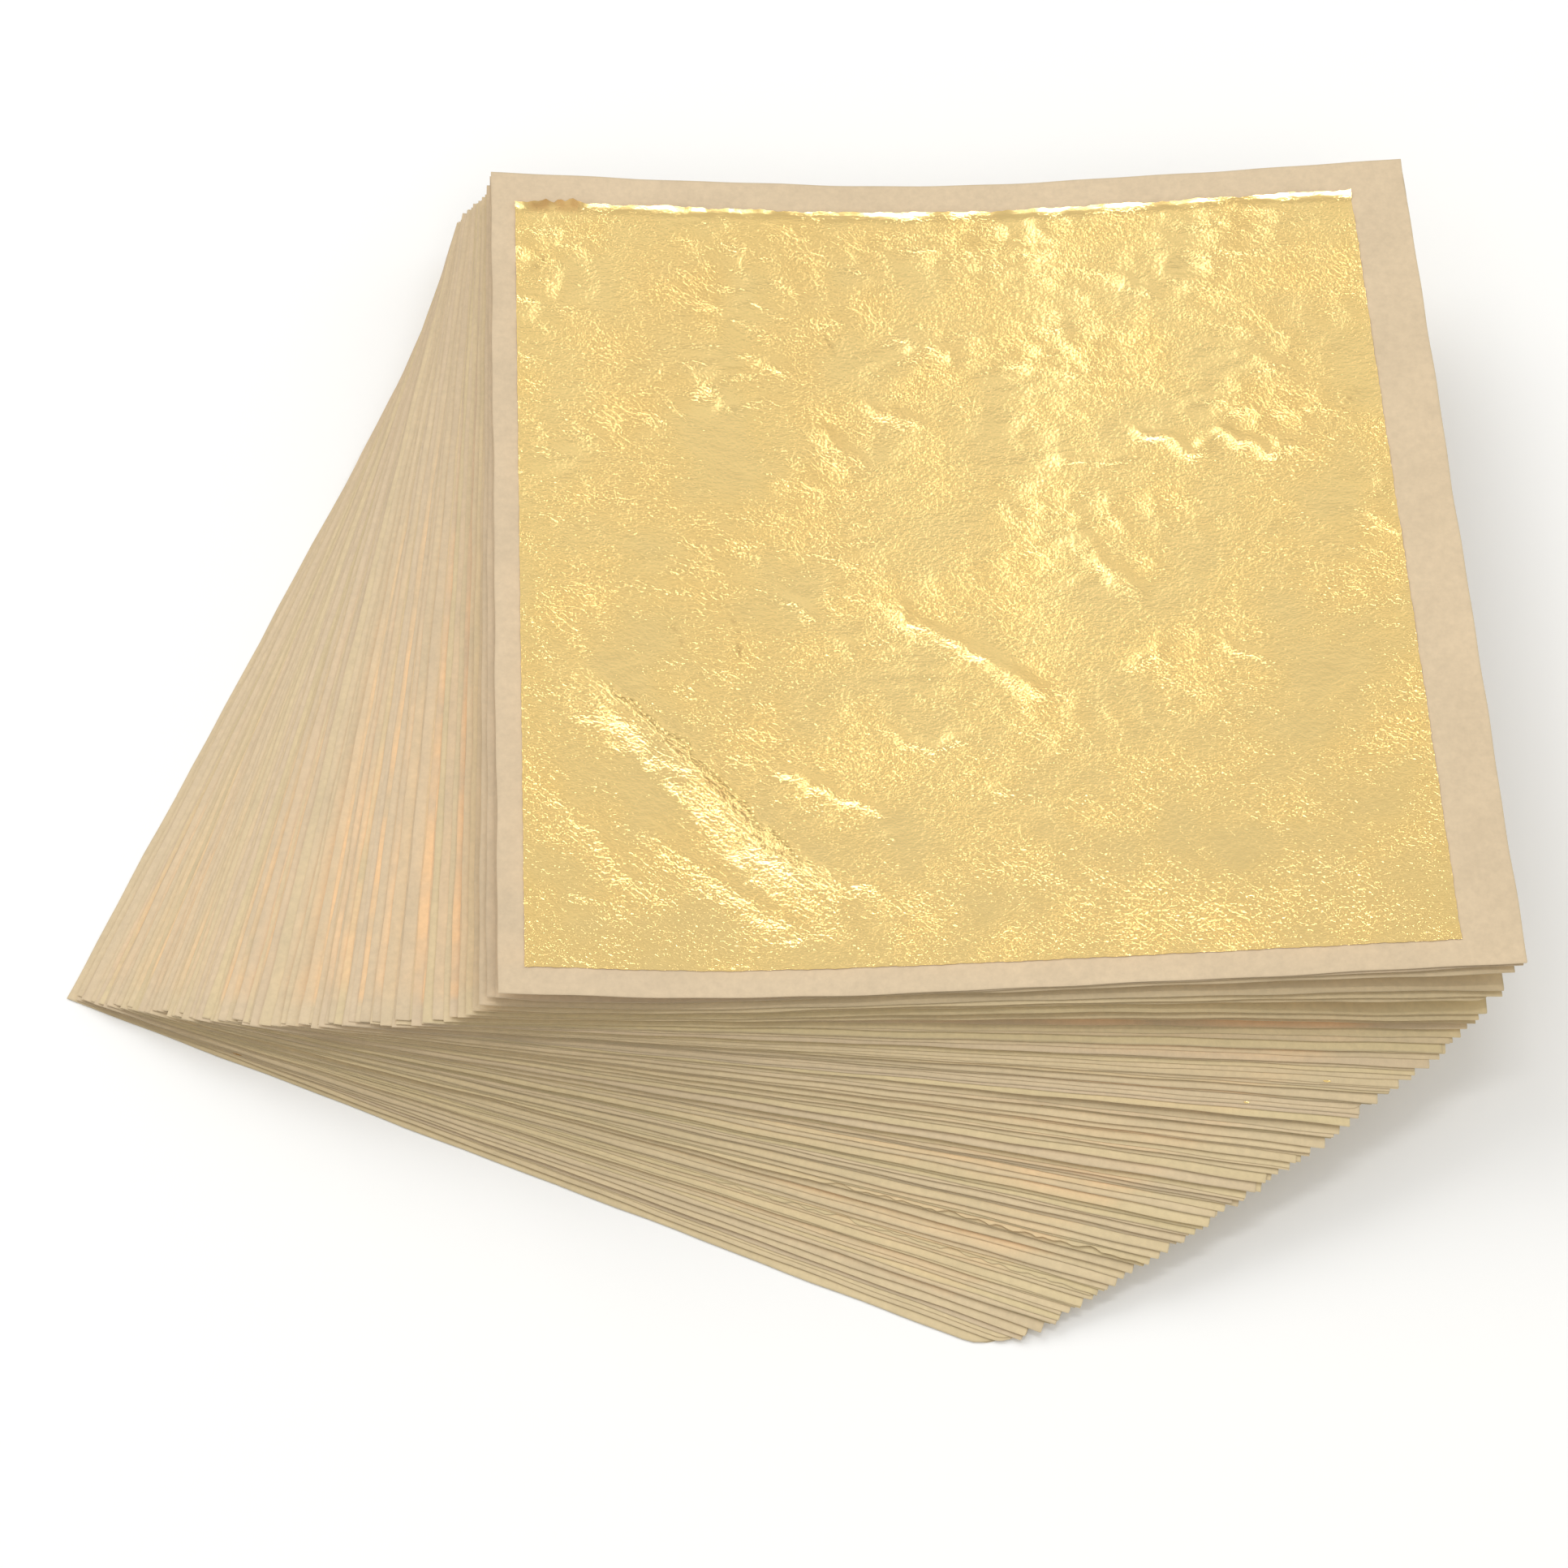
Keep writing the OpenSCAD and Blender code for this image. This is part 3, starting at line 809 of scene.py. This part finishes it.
def beside(u, v, line):
    """Where points lie beside a broken line: the distance along it, its length, and the distance
    from it, positive on the back-right side of a line drawn to the right or to the front."""
    ends = np.array(line) * MM
    steps = np.diff(ends, axis=0)
    lengths = np.linalg.norm(steps, axis=1)
    nearest, along, off = np.full(u.shape, np.inf), np.zeros(u.shape), np.zeros(u.shape)
    for (x, y), (dx, dy), length, before in zip(ends, steps, lengths, np.cumsum(lengths) - lengths):
        on = ((u - x) * dx + (v - y) * dy) / length
        side_of = ((u - x) * dy - (v - y) * dx) / length
        away = np.hypot(side_of, on - np.clip(on, 0, length))
        closer = away < nearest
        nearest = np.where(closer, away, nearest)
        along = np.where(closer, before + np.clip(on, 0, length), along)
        off = np.where(closer, np.copysign(away, side_of), off)
    return along, lengths.sum(), off


def faded(along, length, past):
    """1 along a line, falling to 0 over a short way at both its ends."""
    return np.clip(np.minimum(along, length - along) / (past * MM) + 0.15, 0, 1)


def flank(off, front_left, back_right):
    """1 on a line and 0 at its two widths in mm, steepest at the line."""
    width = np.where(off > 0, back_right, front_left) * MM
    return np.clip(1 - abs(off) / width, 0, 1) ** 1.4


def top_leaf():
    """The top leaf's height is the sum of crinkles of three sizes, each made sharp by folding
    a random surface over at its mean, the ridges, the long fold with its even front-left flank
    and crumpled back-right one, the trough, and the edge that is turned up at the back."""
    sheet = sheet_count - 1
    u, v = leaf_grid(sheet, TOP_LEAF_GRID)
    left, right, back, front = leaf_edges[sheet]
    a, b = (u - left) / (right - left), (v - back) / (front - back)
    at_right, at_left = (sway(v, LEAF_EDGE_WAVES, seed) for seed in (1, 2))
    u = u + LEAF_RAGGED * (at_right * a ** 40 + 0.6 * at_left * (1 - a) ** 40)
    at_back, at_front = (sway(u, LEAF_EDGE_WAVES, seed) for seed in (3, 4))
    v = v + BACK_RAGGED * at_back * (1 - b) ** 40 + LEAF_RAGGED * at_front * b ** 40

    wander = WANDER * random_surface(u, v, WANDER_SIZE, WANDER_SIZE, CRINKLE_SEED + 30)
    fold_along, fold_length, off = beside(u, v, LONG_FOLD)
    off += wander
    on_fold = faded(fold_along, fold_length, FOLD_FADE)
    band = on_fold * np.clip(1 + off / (FOLD_BAND * MM), 0, 1) * (off < 0)
    crumpled = on_fold * np.clip(1 - abs(off / MM - CRUMPLE_WIDTH / 2) / (CRUMPLE_WIDTH / 2), 0, 1)
    fold = on_fold * np.where(off < 0, np.clip(1 + off / (FOLD_BAND * MM), 0, 1), flank(off, 1, FOLD_BACK))
    flat_off = beside(u, v, FLAT_PLACE)[2]
    turned = np.clip(1.3 - (v - back) / TURNED_WIDTH, 0, 1)

    patches = random_surface(u, v, *(size * MM for size in PATCH_SIZE), CRINKLE_SEED + 9)
    lively = np.clip(PATCH_SPREAD[0] + PATCH_SPREAD[1] * patches, *PATCH_LIMITS)
    lively *= FRONT_LIVELY + BACK_LIVELIER * (1 - b) ** 1.3
    lively *= 1 - BAND_CALM * np.clip(2.5 * band, 0, 1)
    lively *= 1 - FLAT_CALM * np.exp(-(flat_off / (FLAT_HALF_WIDTH * MM)) ** 2)
    lively *= 1 - TURNED_CALM * turned

    height = np.zeros(u.shape)
    for size, (wide, deep, tall) in enumerate(CRINKLES):
        surface = random_surface(u, v, wide * MM, deep * MM, CRINKLE_SEED + size)
        height += tall * MM * lively * (1 - np.abs(surface))
    creases = random_surface(u, v, CRUMPLE_SIZE, CRUMPLE_SIZE, CRINKLE_SEED + 20)
    height += CRUMPLE_HEIGHT * crumpled * (1 - abs(creases))
    height += FOLD_HEIGHT * MM * fold * (FOLD_TAPER[0] - FOLD_TAPER[1] * fold_along / fold_length)
    steeper = RIDGE_TAPER[0] - RIDGE_TAPER[1] * b
    for line, tall, front_left, back_right in RIDGES:
        along, length, off = beside(u, v, line)
        ridge = faded(along, length, RIDGE_FADE) * flank(off + wander, front_left, back_right)
        height += steeper * tall * MM * ridge
    height -= TROUGH_DEPTH * MM * np.exp(-(beside(u, v, TROUGH)[2] / (TROUGH_HALF_WIDTH * MM)) ** 2)
    from_back = v - back
    scrap = np.clip(1.3 - from_back / SCRAP_DEPTH, 0, 1)
    scrap *= np.clip(np.minimum(u / MM - SCRAP[0], SCRAP[1] - u / MM) / 0.8, 0, 1)
    lifted = 0.95 + 0.1 * sway(u, TURNED_WAVES, 9)
    height += TURNED_UP * lifted * np.clip(1 - from_back / TURNED_WIDTH, 0, 1) ** 1.25 * (1 - 0.6 * scrap)

    # Painted shade along the creases, broken into dashes
    crease_shade = np.zeros(u.shape)
    broken = np.clip(0.6 + 0.9 * random_surface(u, v, 0.8 * MM, 1.1 * MM, CRINKLE_SEED + 40), 0, 1)
    for line, darkness, half_width in SHADED_CREASES:
        along, length, off = beside(u, v, line)
        thin = np.exp(-((off + 0.5 * wander) / (half_width * MM)) ** 2)
        crease_shade = np.maximum(crease_shade, darkness * thin * broken * faded(along, length, 1.0))
    torn = random_surface(u, v, 1.4 * MM, 0.9 * MM, CRINKLE_SEED + 50)
    height += SCRAP_HEIGHT * scrap * (1 - abs(torn))
    scrap *= np.clip(0.8 + 0.25 * torn, 0, 1)
    v = v - SCRAP_REACH * scrap * np.exp(-from_back / (0.25 * MM))

    p = seen_from_above(sheet, u, v)
    from_edge = np.minimum(np.minimum(u - left, right - u), front - v)
    inwards = np.clip(from_edge / LIFT_RAMP, 0, 1)
    height += LEAF_LIFT - (height.min() + LEAF_LIFT) * inwards ** 2 * (3 - 2 * inwards)
    low = np.dstack([p, underside(sheet, p) + TISSUE + GOLD_LIFT + np.clip(height, 0, None)])
    rough = crumpled + BAND_GRAIN * band - TURNED_SMOOTHER * turned
    facts = np.dstack([u, v, np.zeros(u.shape), rough, SCRAP_TINT * scrap, crease_shade])
    return thin_solid(low, GOLD, facts)


make_piece("gold_top_leaf", [top_leaf()], gold, "top_leaf", "top_leaf")
